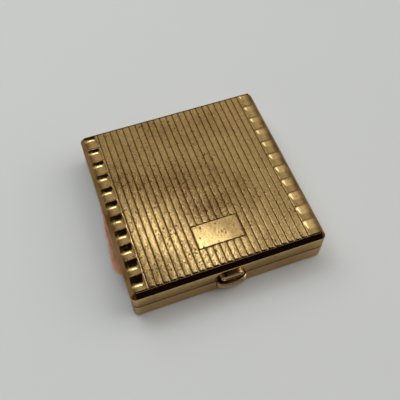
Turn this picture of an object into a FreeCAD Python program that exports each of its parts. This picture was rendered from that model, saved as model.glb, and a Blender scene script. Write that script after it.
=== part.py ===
import FreeCAD, Part
import os

# A square powder compact with a ribbed lid. Millimetres, +Z up, +Y towards the hinge, -Y towards the
# thumb catch. The origin is the centre of the flat underside, and the lid is shut.

os.makedirs("parts", exist_ok=True)
Vector = FreeCAD.Vector

# ---------------------------------------------------------------- driving dimensions
CASE_WIDTH = 70.0
CASE_HEIGHT = 15.5
CORNER_RADIUS = 1.9
FOOT_RADIUS = 1.2
BEVEL = 1.65
BEVEL_DROP = 2.3
WALL = 0.7
LID_TOP_THICKNESS = 1.5
CEILING_BEVEL = 0.5
SEAM_HEIGHT = 7.15
SEAM_GAP = 0.3
FIT_GAP = 0.1

# lid relief
RIB_COUNT = 23
RIB_PITCH = 2.47
RIB_GROOVE_WIDTH = 0.36
RIB_GROOVE_DEPTH = 0.2
SCOOP_COUNT = 11
SCOOP_DEPTH = 0.3
FIELD_MARGIN = 0.4
CARTOUCHE_RIBS = 7
CARTOUCHE_LENGTH = 9.2
CARTOUCHE_CENTRE_Y = -21.1

# hinge
HINGE_LENGTH = 36.0
HINGE_KNUCKLES = 5
BARREL_RADIUS = 0.95
PIN_RADIUS = 0.45
RUNNING_GAP = 0.03
KNUCKLE_GAP = 0.1
LEAF_THICKNESS = 0.4
LEAF_HEIGHT = 3.0

# powder well and sifter
PAN_SIDE = 60.0
PAN_CENTRE_Y = 0.9
PAN_WALL = 0.4
PAN_FLOOR_Z = 1.0
FLANGE_TOP_Z = 6.5
FLANGE_THICKNESS = 0.5
POWDER_DEPTH = 3.0
SIFTER_OPENING = 51.0
SIFTER_LIP = 1.0
SIFTER_LIP_THICKNESS = 0.3
SIFTER_DEPTH = 1.2
MESH_THICKNESS = 0.15
MESH_MARGIN = 1.0

# mirror
MIRROR_THICKNESS = 1.2
MIRROR_PAD_THICKNESS = 0.7
MIRROR_FRAME_LIP = 4.0
MIRROR_FRAME_WALL = 0.5
MIRROR_FRAME_LIP_THICKNESS = 0.4

# puff
PUFF_SIDE = 50.0
PUFF_CORNER = 5.0
PUFF_CENTRE = (-11.2, 0.2)
PUFF_TURN_DEG = -4.2
PUFF_THICKNESS = 3.35
PUFF_NECK = 0.14
PUFF_BULGE = 2.0
BACKING_THICKNESS = 0.3
RIBBON_WIDTH = 14.0
RIBBON_THICKNESS = 0.25

# thumb catch
BUTTON_WIDTH = 10.8
BUTTON_FLANK = 0.7
BUTTON_REACH = 2.2
BUTTON_LOW_Z = 2.9
BUTTON_TOP_Z = 7.0
BUTTON_TRAVEL = 0.8
TAB_WIDTH = 8.4
TAB_LOW_Z = 7.5
TAB_HIGH_Z = 10.9
TAB_REACH = 1.1
TONGUE_WIDTH = 5.0
TONGUE_FRONT_Y = -33.5
TONGUE_BACK_Y = -33.1
BARB_TIP_Y = -32.9
BARB_LOW_Z = 4.5
BAR_FRONT_Y = -32.6
BAR_BACK_Y = -32.0
ARM_WIDTH = 1.5
ARM_LOW_Z = 3.0
ARM_HIGH_Z = 5.5
EAR_OUTER_X = 6.5

# ---------------------------------------------------------------- sizes worked out from them
HALF = CASE_WIDTH / 2
INNER_HALF = HALF - WALL
BASE_RIM_Z = SEAM_HEIGHT - SEAM_GAP / 2
LID_RIM_Z = SEAM_HEIGHT + SEAM_GAP / 2
LID_CEILING_Z = CASE_HEIGHT - LID_TOP_THICKNESS
FIELD_HALF = RIB_COUNT * RIB_PITCH / 2
HINGE_Y = HALF + 0.35
HINGE_Z = SEAM_HEIGHT
LEAF_INNER_Y = INNER_HALF - LEAF_THICKNESS
ARM_OUTER_X = TONGUE_WIDTH / 2 + 0.5 + ARM_WIDTH


# ---------------------------------------------------------------- helpers
def block(x_low, x_high, y_low, y_high, z_low, z_high):
    """A box between two corners."""
    size = Vector(x_high - x_low, y_high - y_low, z_high - z_low)
    return Part.makeBox(size.x, size.y, size.z, Vector(x_low, y_low, z_low))


def upright_edges(shape):
    """The edges of a prism that run along Z."""
    return [edge for edge in shape.Edges
            if abs(edge.BoundBox.XLength) < 1e-6 and abs(edge.BoundBox.YLength) < 1e-6]


def edges_at(shape, z):
    """The edges that lie in the level plane z."""
    return [edge for edge in shape.Edges
            if abs(edge.BoundBox.ZMin - z) < 1e-6 and abs(edge.BoundBox.ZMax - z) < 1e-6]


def rounded_slab(width, depth, z_low, z_high, radius, centre=(0.0, 0.0)):
    """A level slab with round upright corners."""
    x, y = centre
    slab = block(x - width / 2, x + width / 2, y - depth / 2, y + depth / 2, z_low, z_high)
    return slab.makeFillet(radius, upright_edges(slab))


def rod_along_x(radius, x_low, x_high, y, z):
    """A cylinder whose axis runs along X."""
    return Part.makeCylinder(radius, x_high - x_low, Vector(x_low, y, z), Vector(1, 0, 0))


def prism_along_y(points, y_low, y_high):
    """A prism along Y, from (x, z) corners."""
    corners = [Vector(x, y_low, z) for x, z in points]
    face = Part.Face(Part.makePolygon(corners + corners[:1]))
    return face.extrude(Vector(0, y_high - y_low, 0))


def bowed_outline(half_width, y_wall, y_flank, y_tip, z):
    """A closed level outline: straight flanks out from the wall and one arc across the front."""
    left_wall = Vector(-half_width, y_wall, z)
    left = Vector(-half_width, y_flank, z)
    tip = Vector(0, y_tip, z)
    right = Vector(half_width, y_flank, z)
    right_wall = Vector(half_width, y_wall, z)
    edges = [
        Part.makeLine(left_wall, left),
        Part.Arc(left, tip, right).toShape(),
        Part.makeLine(right, right_wall),
        Part.makeLine(right_wall, left_wall),
    ]
    return Part.Face(Part.Wire(edges))


def save(name, shape):
    """Write one piece, and say what was made."""
    shape.exportStep("parts/" + name + ".step")
    print(name, "solids", len(shape.Solids), "valid", shape.isValid(), "volume %.2f" % shape.Volume)


# ---------------------------------------------------------------- base
def hinge_notch():
    """The slot along the seam in both back walls, where the hinge barrel lies."""
    half = HINGE_LENGTH / 2 + 0.2
    reach = BARREL_RADIUS + 0.2
    return block(-half, half, INNER_HALF - 1.0, HALF + 1.0, HINGE_Z - reach, HINGE_Z + reach)


def make_base_shell():
    """The lower pressed tray, with a soft foot all round."""
    outer = rounded_slab(CASE_WIDTH, CASE_WIDTH, 0, BASE_RIM_Z, CORNER_RADIUS)
    outer = outer.makeFillet(FOOT_RADIUS, edges_at(outer, 0))
    inner = rounded_slab(2 * INNER_HALF, 2 * INNER_HALF, WALL, BASE_RIM_Z + 1, CORNER_RADIUS - WALL)
    inner = inner.makeFillet(FOOT_RADIUS - WALL, edges_at(inner, WALL))
    half = BUTTON_WIDTH / 2 + FIT_GAP
    window = block(-half, half, -HALF - 1, -INNER_HALF + 0.2, BUTTON_LOW_Z - FIT_GAP, BASE_RIM_Z + 1)
    return outer.cut([inner, hinge_notch(), window])


def make_powder_pan():
    """The inner pan that holds the powder, with the flange that covers the catch works."""
    centre = (0.0, PAN_CENTRE_Y)
    width = 2 * (INNER_HALF - FIT_GAP)
    flange = rounded_slab(width, width, FLANGE_TOP_Z - FLANGE_THICKNESS, FLANGE_TOP_Z,
                          CORNER_RADIUS - WALL)
    body = rounded_slab(PAN_SIDE, PAN_SIDE, PAN_FLOOR_Z, FLANGE_TOP_Z, 4.0, centre)
    hollow_side = PAN_SIDE - 2 * PAN_WALL
    hollow = rounded_slab(hollow_side, hollow_side, PAN_FLOOR_Z + PAN_WALL, FLANGE_TOP_Z + 1, 3.6, centre)
    slots = [(TONGUE_WIDTH / 2 + 0.3, -HALF, BAR_FRONT_Y + 0.2),
             (BUTTON_WIDTH / 2 + 0.2, -HALF, TONGUE_FRONT_Y + 0.1),
             (HINGE_LENGTH / 2 + 0.3, LEAF_INNER_Y - 0.1, HALF)]
    cuts = [block(-half, half, y_low, y_high, FLANGE_TOP_Z - 1.4, FLANGE_TOP_Z + 0.6)
            for half, y_low, y_high in slots]
    return flange.fuse(body).cut([hollow] + cuts).removeSplitter()


def make_powder():
    """The loose powder that lies level in the pan."""
    side = PAN_SIDE - 2 * PAN_WALL - 2 * FIT_GAP
    floor = PAN_FLOOR_Z + PAN_WALL
    return rounded_slab(side, side, floor, floor + POWDER_DEPTH, 3.5, (0.0, PAN_CENTRE_Y))


SIFTER_SIDE = PAN_SIDE - 2 * PAN_WALL - 2 * FIT_GAP
SIFTER_LOW_Z = FLANGE_TOP_Z - SIFTER_DEPTH
SIFTER_TOP_Z = FLANGE_TOP_Z + SIFTER_LIP_THICKNESS
MESH_SIDE = SIFTER_OPENING + 2 * MESH_MARGIN


def make_sifter_frame():
    """The square ring that drops into the pan's mouth and rests on the flange by its lip."""
    centre = (0.0, PAN_CENTRE_Y)
    lip_side = SIFTER_SIDE + 2 * SIFTER_LIP
    lip = rounded_slab(lip_side, lip_side, FLANGE_TOP_Z, SIFTER_TOP_Z, 4.4, centre)
    body = rounded_slab(SIFTER_SIDE, SIFTER_SIDE, SIFTER_LOW_Z, SIFTER_TOP_Z, 3.5, centre)
    opening = rounded_slab(SIFTER_OPENING, SIFTER_OPENING, SIFTER_LOW_Z - 1, SIFTER_TOP_Z + 1, 2.0, centre)
    rebate_side = MESH_SIDE + FIT_GAP
    rebate = rounded_slab(rebate_side, rebate_side, SIFTER_LOW_Z - 1,
                          SIFTER_LOW_Z + MESH_THICKNESS, 2.5, centre)
    return lip.fuse(body).cut([opening, rebate]).removeSplitter()


def make_sifter_mesh():
    """The fine woven screen, a thin sheet held in the ring's rebate."""
    return rounded_slab(MESH_SIDE, MESH_SIDE, SIFTER_LOW_Z, SIFTER_LOW_Z + MESH_THICKNESS, 2.4,
                        (0.0, PAN_CENTRE_Y))


def make_sifter_tab():
    """The small half-round tab that lifts the sifter out, on the ring's right side."""
    radius = 3.4
    edge_x = SIFTER_OPENING / 2 + 0.4
    disc = Part.makeCylinder(radius, 0.25, Vector(edge_x, PAN_CENTRE_Y, SIFTER_TOP_Z))
    outside = block(0, edge_x, -HALF, HALF, 0, CASE_HEIGHT)
    return disc.cut(outside)


# ---------------------------------------------------------------- hinge
def knuckle_spans():
    """The (low, high) X of each hinge knuckle, from left to right."""
    pitch = HINGE_LENGTH / HINGE_KNUCKLES
    start = -HINGE_LENGTH / 2
    return [(start + i * pitch + KNUCKLE_GAP / 2, start + (i + 1) * pitch - KNUCKLE_GAP / 2)
            for i in range(HINGE_KNUCKLES)]


def hinge_leaf(spans, bore_radius, side):
    """A leaf flat against the back wall's inner face, with a barrel on each span.

    side is -1 for the base's leaf, below the axis, and +1 for the lid's leaf, above it.
    """
    near = HINGE_Z + side * (BARREL_RADIUS - LEAF_THICKNESS)
    edge = HINGE_Z + side * BARREL_RADIUS
    far = edge + side * LEAF_HEIGHT
    half = HINGE_LENGTH / 2
    leaf = block(-half, half, LEAF_INNER_Y, INNER_HALF, min(near, far), max(near, far))
    for x_low, x_high in spans:
        web = block(x_low, x_high, LEAF_INNER_Y, HINGE_Y, min(near, edge), max(near, edge))
        leaf = leaf.fuse([web, rod_along_x(BARREL_RADIUS, x_low, x_high, HINGE_Y, HINGE_Z)])
    bore = rod_along_x(bore_radius, -HALF, HALF, HINGE_Y, HINGE_Z)
    return leaf.cut(bore).removeSplitter()


def make_base_hinge_leaf():
    """The leaf with the first, third and fifth knuckles, tight on the pin."""
    return hinge_leaf(knuckle_spans()[0::2], PIN_RADIUS, -1)


def make_lid_hinge_leaf():
    """The leaf with the second and fourth knuckles, free to turn on the pin."""
    return hinge_leaf(knuckle_spans()[1::2], PIN_RADIUS + RUNNING_GAP, 1)


def make_hinge_pin():
    """The wire pin through all the knuckles."""
    half = HINGE_LENGTH / 2
    return rod_along_x(PIN_RADIUS, -half, half, HINGE_Y, HINGE_Z)


# ---------------------------------------------------------------- lid
def rib_grooves():
    """The fine grooves between ribs. They stop at the cartouche's top and bottom edges."""
    reach = RIB_GROOVE_WIDTH / 2
    section = [(-reach, CASE_HEIGHT), (reach, CASE_HEIGHT), (0, CASE_HEIGHT - RIB_GROOVE_DEPTH)]
    top = CARTOUCHE_CENTRE_Y + CARTOUCHE_LENGTH / 2
    bottom = CARTOUCHE_CENTRE_Y - CARTOUCHE_LENGTH / 2
    grooves = []
    for i in range(RIB_COUNT + 1):
        x = -FIELD_HALF + i * RIB_PITCH
        points = [(x + dx, z) for dx, z in section]
        if abs(x) < (CARTOUCHE_RIBS / 2 - 0.5) * RIB_PITCH:
            grooves += [prism_along_y(points, -HALF, bottom), prism_along_y(points, top, HALF)]
        else:
            grooves.append(prism_along_y(points, -HALF, HALF))
    return grooves


def cartouche_outline():
    """The two cross grooves that close the cartouche at its top and bottom."""
    half = CARTOUCHE_RIBS * RIB_PITCH / 2
    reach = RIB_GROOVE_WIDTH / 2
    low = CASE_HEIGHT - RIB_GROOVE_DEPTH
    grooves = []
    for y in (CARTOUCHE_CENTRE_Y - CARTOUCHE_LENGTH / 2, CARTOUCHE_CENTRE_Y + CARTOUCHE_LENGTH / 2):
        corners = [Vector(-half, y - reach, CASE_HEIGHT), Vector(-half, y + reach, CASE_HEIGHT),
                   Vector(-half, y, low)]
        face = Part.Face(Part.makePolygon(corners + corners[:1]))
        grooves.append(face.extrude(Vector(2 * half, 0, 0)))
    return grooves


def edge_scoops():
    """The two columns of shallow cross flutes, which run out through the side bevels."""
    length = CASE_WIDTH - 2 * BEVEL
    pitch = length / SCOOP_COUNT
    radius = (pitch * pitch / 4 + SCOOP_DEPTH * SCOOP_DEPTH) / (2 * SCOOP_DEPTH)
    z = CASE_HEIGHT - SCOOP_DEPTH + radius
    inner_x = FIELD_HALF + FIELD_MARGIN
    scoops = []
    for i in range(SCOOP_COUNT):
        y = -length / 2 + (i + 0.5) * pitch
        scoops.append(rod_along_x(radius, inner_x, HALF + 1, y, z))
        scoops.append(rod_along_x(radius, -HALF - 1, -inner_x, y, z))
    return scoops


def rounded_outline(width, radius, z):
    """The closed level outline of a rounded square."""
    slab = rounded_slab(width, width, z, z + 1, radius)
    return Part.Wire(Part.__sortEdges__(edges_at(slab, z)))


def make_lid_shell():
    """The upper pressed cover: flat bevels, a ribbed field, a cartouche and two columns of flutes."""
    bevel_low_z = CASE_HEIGHT - BEVEL_DROP
    wall = rounded_slab(CASE_WIDTH, CASE_WIDTH, LID_RIM_Z, bevel_low_z, CORNER_RADIUS)
    bevel_low = rounded_outline(CASE_WIDTH, CORNER_RADIUS, bevel_low_z)
    bevel_high = rounded_outline(CASE_WIDTH - 2 * BEVEL, CORNER_RADIUS - BEVEL, CASE_HEIGHT)
    outer = wall.fuse(Part.makeLoft([bevel_low, bevel_high], True, True)).removeSplitter()
    inner = rounded_slab(2 * INNER_HALF, 2 * INNER_HALF, LID_RIM_Z - 1, LID_CEILING_Z, CORNER_RADIUS - WALL)
    inner = inner.makeChamfer(CEILING_BEVEL, edges_at(inner, LID_CEILING_Z))
    shell = outer.cut([inner, hinge_notch()])
    shell = shell.cut(edge_scoops())
    return shell.cut(rib_grooves() + cartouche_outline())


FRAME_LOW_Z = LID_CEILING_Z - MIRROR_PAD_THICKNESS - MIRROR_THICKNESS - MIRROR_FRAME_LIP_THICKNESS
MIRROR_LOW_Z = FRAME_LOW_Z + MIRROR_FRAME_LIP_THICKNESS
FRAME_SIDE = 2 * (INNER_HALF - FIT_GAP)
MIRROR_SIDE = FRAME_SIDE - 2 * MIRROR_FRAME_WALL - 2 * FIT_GAP


def make_mirror_frame():
    """The pressed ring that holds the mirror up against the lid. Its rim ends below the ceiling's bevel."""
    rim_z = LID_CEILING_Z - CEILING_BEVEL
    outer = rounded_slab(FRAME_SIDE, FRAME_SIDE, FRAME_LOW_Z, rim_z, CORNER_RADIUS - WALL)
    seat_side = FRAME_SIDE - 2 * MIRROR_FRAME_WALL
    seat = rounded_slab(seat_side, seat_side, MIRROR_LOW_Z, LID_CEILING_Z + 1, 1.4)
    opening_side = FRAME_SIDE - 2 * MIRROR_FRAME_LIP
    opening = rounded_slab(opening_side, opening_side, FRAME_LOW_Z - 1, LID_CEILING_Z, 2.5)
    return outer.cut([seat, opening])


def make_mirror():
    """The silvered glass."""
    return rounded_slab(MIRROR_SIDE, MIRROR_SIDE, MIRROR_LOW_Z, MIRROR_LOW_Z + MIRROR_THICKNESS, 1.3)


def make_mirror_pad():
    """The card that packs the mirror against the lid."""
    low = MIRROR_LOW_Z + MIRROR_THICKNESS
    return rounded_slab(MIRROR_SIDE, MIRROR_SIDE, low, LID_CEILING_Z, 1.3)


# ---------------------------------------------------------------- catch
def make_lid_thumb_tab():
    """The pill-shaped tab on the lid's front wall, with two ridges along it."""
    half = TAB_WIDTH / 2
    height = TAB_HIGH_Z - TAB_LOW_Z
    tab = block(-half, half, -HALF - TAB_REACH, -HALF, TAB_LOW_Z, TAB_HIGH_Z)
    ends = [edge for edge in tab.Edges
            if edge.BoundBox.XLength < 1e-6 and edge.BoundBox.ZLength < 1e-6]
    tab = tab.makeFillet(height / 2 - 0.2, ends)
    front = [edge for edge in tab.Edges if abs(edge.BoundBox.YMax + HALF + TAB_REACH) < 1e-6]
    tab = tab.makeFillet(0.3, front)
    middle = (TAB_LOW_Z + TAB_HIGH_Z) / 2
    groove = rod_along_x(0.28, -half + 0.9, half - 0.9, -HALF - TAB_REACH, middle)
    return tab.cut(groove)


def make_lid_catch_tongue():
    """The strip behind the thumb tab, which reaches down into the base and ends in a barb."""
    half = TONGUE_WIDTH / 2
    low_z = LID_RIM_Z + 0.2
    plate = block(-5.0, 5.0, -INNER_HALF, -INNER_HALF + 0.4, low_z, FRAME_LOW_Z - 0.1)
    shelf = block(-half, half, -INNER_HALF, TONGUE_BACK_Y, low_z, low_z + 0.4)
    strip = block(-half, half, TONGUE_FRONT_Y, TONGUE_BACK_Y, BARB_LOW_Z, low_z + 0.4)
    barb = block(-half, half, TONGUE_BACK_Y, BARB_TIP_Y, BARB_LOW_Z, BARB_LOW_Z + 0.4)
    return plate.fuse([shelf, strip, barb]).removeSplitter()


def make_catch_button():
    """The bowed thumb piece, with two arms that carry a bar behind the lid's tongue."""
    half = BUTTON_WIDTH / 2
    wall_y = TONGUE_FRONT_Y - BUTTON_TRAVEL - 0.1
    flank_y = -HALF - BUTTON_FLANK
    tip_y = -HALF - BUTTON_REACH
    height = BUTTON_TOP_Z - BUTTON_LOW_Z
    nose = bowed_outline(half, wall_y, flank_y, tip_y, BUTTON_LOW_Z).extrude(Vector(0, 0, height))
    dish = bowed_outline(half - 0.6, wall_y + 1, flank_y + 0.3, tip_y + 0.55, BUTTON_TOP_Z - 0.8)
    dish = dish.extrude(Vector(0, 0, 2))
    band = bowed_outline(half + 1, -HALF, flank_y - 1, tip_y - 1, BUTTON_TOP_Z - 1.0)
    core = bowed_outline(half - 0.25, wall_y + 2, flank_y + 0.25, tip_y + 0.25, BUTTON_TOP_Z - 1.0)
    groove = band.extrude(Vector(0, 0, 0.35)).cut(core.extrude(Vector(0, 0, 0.35)))
    button = nose.cut([dish, groove])
    for side in (-1, 1):
        inner_x = side * (ARM_OUTER_X - ARM_WIDTH)
        outer_x = side * ARM_OUTER_X
        ear_x = side * EAR_OUTER_X
        arm = block(min(inner_x, outer_x), max(inner_x, outer_x), wall_y, BAR_BACK_Y, ARM_LOW_Z, ARM_HIGH_Z)
        ear = block(min(inner_x, ear_x), max(inner_x, ear_x), -INNER_HALF + RUNNING_GAP,
                    -INNER_HALF + 0.55, ARM_LOW_Z, ARM_HIGH_Z)
        button = button.fuse([arm, ear])
    bar = block(-ARM_OUTER_X, ARM_OUTER_X, BAR_FRONT_Y, BAR_BACK_Y, ARM_LOW_Z, ARM_HIGH_Z)
    lip = block(-ARM_OUTER_X, ARM_OUTER_X, BARB_TIP_Y + 0.05, BAR_FRONT_Y, ARM_HIGH_Z - 0.4, ARM_HIGH_Z)
    return button.fuse([bar, lip]).removeSplitter()


def make_catch_guide():
    """The bracket on the floor whose cheeks keep the button's arms square."""
    front_y = BAR_BACK_Y - 0.75
    back_y = PAN_CENTRE_Y - PAN_SIDE / 2 - 0.2
    inner_x = ARM_OUTER_X + 0.12
    outer_x = inner_x + 0.4
    foot = block(-outer_x, outer_x, front_y, back_y, WALL, WALL + 0.4)
    cheeks = [block(-outer_x, -inner_x, front_y, back_y, WALL, ARM_HIGH_Z),
              block(inner_x, outer_x, front_y, back_y, WALL, ARM_HIGH_Z)]
    return foot.fuse(cheeks).removeSplitter()


def make_catch_spring():
    """The bowed leaf spring between the button's bar and the pan, which pushes the button out."""
    half = ARM_OUTER_X - 0.3
    back_y = PAN_CENTRE_Y - PAN_SIDE / 2 - 0.05
    front_y = BAR_BACK_Y + 0.05
    thickness = 0.25
    outer = Part.Arc(Vector(-half, back_y, ARM_LOW_Z), Vector(0, front_y, ARM_LOW_Z),
                     Vector(half, back_y, ARM_LOW_Z))
    inner = Part.Arc(Vector(-half + thickness, back_y, ARM_LOW_Z),
                     Vector(0, front_y + thickness, ARM_LOW_Z),
                     Vector(half - thickness, back_y, ARM_LOW_Z))
    left = Part.makeLine(Vector(-half, back_y, ARM_LOW_Z), Vector(-half + thickness, back_y, ARM_LOW_Z))
    right = Part.makeLine(Vector(half, back_y, ARM_LOW_Z), Vector(half - thickness, back_y, ARM_LOW_Z))
    outline = Part.Wire(Part.__sortEdges__([outer.toShape(), right, inner.toShape(), left]))
    return Part.Face(outline).extrude(Vector(0, 0, ARM_HIGH_Z - ARM_LOW_Z))


# ---------------------------------------------------------------- puff
PUFF_LOW_Z = SIFTER_TOP_Z + 0.3
PUFF_TOP_Z = PUFF_LOW_Z + PUFF_THICKNESS


def puff_slab(side, z_low, z_high, radius):
    """A round-cornered slab in the puff's place, turned as the puff lies."""
    slab = rounded_slab(side, side, z_low, z_high, radius, PUFF_CENTRE)
    slab.rotate(Vector(PUFF_CENTRE[0], PUFF_CENTRE[1], 0), Vector(0, 0, 1), PUFF_TURN_DEG)
    return slab


def make_powder_puff():
    """The velour pad. Its left edge is pinched in the seam and stands out beside the case."""
    inside = block(-INNER_HALF + 0.3, HALF, -HALF, HALF, 0, CASE_HEIGHT)
    outside = block(-HALF - 10, -HALF - 0.25, -HALF, HALF, 0, CASE_HEIGHT)
    pad = puff_slab(PUFF_SIDE, PUFF_LOW_Z, PUFF_TOP_Z, PUFF_CORNER).common(inside)
    neck = puff_slab(PUFF_SIDE - 0.8, SEAM_HEIGHT - PUFF_NECK / 2, SEAM_HEIGHT + PUFF_NECK / 2, PUFF_CORNER)
    bulge = puff_slab(PUFF_SIDE, SEAM_HEIGHT - PUFF_BULGE / 2, SEAM_HEIGHT + PUFF_BULGE / 2, PUFF_CORNER)
    return pad.fuse([neck, bulge.common(outside)]).removeSplitter()


def make_puff_backing():
    """The satin back of the puff, on the side that faces the mirror."""
    inside = block(-INNER_HALF + 0.5, HALF, -HALF, HALF, 0, CASE_HEIGHT)
    low = PUFF_TOP_Z + 0.02
    return puff_slab(PUFF_SIDE - 2, low, low + BACKING_THICKNESS, PUFF_CORNER - 1).common(inside)


def make_puff_ribbon():
    """The ribbon that the fingers slip under, sewn across the satin back."""
    inside = block(-INNER_HALF + 0.7, HALF, -HALF, HALF, 0, CASE_HEIGHT)
    low = PUFF_TOP_Z + BACKING_THICKNESS + 0.1
    x, y = PUFF_CENTRE
    half = PUFF_SIDE / 2 - 2
    ribbon = block(x - half, x + half, y - RIBBON_WIDTH / 2, y + RIBBON_WIDTH / 2, low, low + RIBBON_THICKNESS)
    ribbon.rotate(Vector(x, y, 0), Vector(0, 0, 1), PUFF_TURN_DEG)
    return ribbon.common(inside)


# ---------------------------------------------------------------- all the pieces
PIECES = {
    "base_shell": make_base_shell,
    "powder_pan": make_powder_pan,
    "powder": make_powder,
    "sifter_frame": make_sifter_frame,
    "sifter_mesh": make_sifter_mesh,
    "sifter_tab": make_sifter_tab,
    "powder_puff": make_powder_puff,
    "puff_backing": make_puff_backing,
    "puff_ribbon": make_puff_ribbon,
    "base_hinge_leaf": make_base_hinge_leaf,
    "hinge_pin": make_hinge_pin,
    "catch_guide": make_catch_guide,
    "catch_spring": make_catch_spring,
    "catch_button": make_catch_button,
    "lid_shell": make_lid_shell,
    "lid_hinge_leaf": make_lid_hinge_leaf,
    "lid_thumb_tab": make_lid_thumb_tab,
    "lid_catch_tongue": make_lid_catch_tongue,
    "mirror_frame": make_mirror_frame,
    "mirror": make_mirror,
    "mirror_pad": make_mirror_pad,
}

for piece_name, make_piece in PIECES.items():
    save(piece_name, make_piece())
print("pieces", len(PIECES), "mirror frame's underside z %.2f" % FRAME_LOW_Z,
      "puff ribbon's top z %.2f" % (PUFF_TOP_Z + BACKING_THICKNESS + 0.1 + RIBBON_THICKNESS),
      "hinge axis y %.2f z %.2f" % (HINGE_Y, HINGE_Z))
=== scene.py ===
# %% [markdown]
# # A square powder compact
# A compact is two shallow pressed-brass trays joined by a hinge. The lower tray holds loose powder
# under a gauze sifter, the lid holds a mirror, and a velour puff lies between them. The frame that is
# loaded here already has every piece at its real size, so this script only makes the surfaces richer:
# it replaces the pieces whose finish is a shape, such as the ribbed lid and the soft puff, and it gives
# all the others a material.

# %% Load the frame
import math

import bpy
import numpy as np
from mathutils import Matrix, Vector, noise
from mathutils.bvhtree import BVHTree


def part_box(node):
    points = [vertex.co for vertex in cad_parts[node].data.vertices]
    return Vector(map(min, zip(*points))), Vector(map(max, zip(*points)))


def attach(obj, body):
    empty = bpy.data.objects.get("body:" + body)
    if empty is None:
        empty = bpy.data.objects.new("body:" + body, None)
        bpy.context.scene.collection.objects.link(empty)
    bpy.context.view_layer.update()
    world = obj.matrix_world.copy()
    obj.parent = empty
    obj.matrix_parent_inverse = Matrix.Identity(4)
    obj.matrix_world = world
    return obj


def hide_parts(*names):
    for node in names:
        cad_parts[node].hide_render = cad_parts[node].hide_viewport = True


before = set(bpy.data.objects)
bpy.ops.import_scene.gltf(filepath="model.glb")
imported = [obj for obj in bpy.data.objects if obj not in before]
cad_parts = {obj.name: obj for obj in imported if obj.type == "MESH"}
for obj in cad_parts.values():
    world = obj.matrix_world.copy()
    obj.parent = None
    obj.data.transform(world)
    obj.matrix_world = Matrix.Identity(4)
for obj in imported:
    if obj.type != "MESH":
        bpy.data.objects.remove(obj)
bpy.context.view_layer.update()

# %% [markdown]
# ## The size of the case
# Every place below is worked out from the boxes of the frame's own pieces, so that the new surfaces
# fall exactly where the old ones were. Lengths are in metres, and MM keeps the small ones readable.

# %% Sizes taken from the frame
MM = 0.001
lid_low, lid_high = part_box("lid_shell")
HALF = lid_high.x
TOP = lid_high.z
LID_RIM = lid_low.z
BASE_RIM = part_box("base_shell")[1].z
SEAM = (LID_RIM + BASE_RIM) / 2
WALL = 0.7 * MM
CORNER = 1.9 * MM
BEVEL = 1.65 * MM
BEVEL_DROP = 2.3 * MM
PLATE_HALF = HALF - BEVEL
PLATE_CORNER = CORNER - BEVEL
print("lid half side %.2f mm, top %.2f mm" % (HALF / MM, TOP / MM))

# %% [markdown]
# ## Camera
# The camera comes first, because it decides how fine each surface has to be. It stands in front of
# the compact, a little to its left, and looks down steeply, as a person does who holds a phone over a
# table. A place and a target are easier to read than three angles, so the turn is worked out from them.

# %% Camera
CAMERA_PLACE = Vector((-39.4, -110.0, 191.9)) * MM
CAMERA_TARGET = Vector((0.16, -2.71, 7.75)) * MM
CAMERA_ROLL = math.radians(0.38)
camera_data = bpy.data.cameras.new("camera")
camera_data.lens = 52.94
camera_data.sensor_width = 36.0
camera_data.clip_start = 0.01
camera = bpy.data.objects.new("camera", camera_data)
bpy.context.scene.collection.objects.link(camera)
looking = (CAMERA_TARGET - CAMERA_PLACE).to_track_quat("-Z", "Y").to_matrix().to_4x4()
camera.matrix_world = Matrix.Translation(CAMERA_PLACE) @ looking @ Matrix.Rotation(CAMERA_ROLL, 4, "Z")
bpy.context.scene.camera = camera
bpy.context.scene.view_settings.view_transform = "Standard"
print("camera is %.0f mm from its target" % ((CAMERA_TARGET - CAMERA_PLACE).length / MM))

# %% [markdown]
# ## Helpers for nodes
# A material is a small graph. Three helpers keep the graphs short: one adds any node and joins it up,
# one does arithmetic, and one stretches a value from one range to another.


# %% Node helpers
def add(tree, kind, settings=None, inputs=None):
    """Add a node, set its properties, and give each input a value or a link."""
    made = tree.nodes.new(kind)
    for name, value in (settings or {}).items():
        setattr(made, name, value)
    for name, value in (inputs or {}).items():
        if isinstance(value, bpy.types.NodeSocket):
            tree.links.new(value, made.inputs[name])
        else:
            made.inputs[name].default_value = value
    return made


def maths(tree, operation, first, second=0.0):
    """Arithmetic on one or two values."""
    return add(tree, "ShaderNodeMath", {"operation": operation}, {0: first, 1: second}).outputs[0]


def remap(tree, value, low, high, to_low=0.0, to_high=1.0):
    """Carry a value smoothly from the range low to high into another range, and stop at its ends."""
    inputs = {"Value": value, "From Min": low, "From Max": high, "To Min": to_low, "To Max": to_high}
    return add(tree, "ShaderNodeMapRange", {"interpolation_type": "SMOOTHSTEP"}, inputs).outputs["Result"]


def blend_colours(tree, amount, first, second):
    """Mix two colours, the second one as far as amount says."""
    return add(tree, "ShaderNodeMix", {"data_type": "RGBA"},
               {"Factor": amount, 6: first, 7: second}).outputs[2]


def colour(red, green, blue):
    """An opaque colour, in linear light."""
    return (red, green, blue, 1.0)


# %% [markdown]
# ## Light
# Polished metal has no look of its own: it shows the room. A plain grey room would leave the bevels
# and flutes flat, so the world is a simple studio. It is warm and mid-grey at the sides, has a pale
# ceiling on the right, and is dark overhead and in front, as where a person leans over the table. The
# dark part is what turns the front bevel black.


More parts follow.
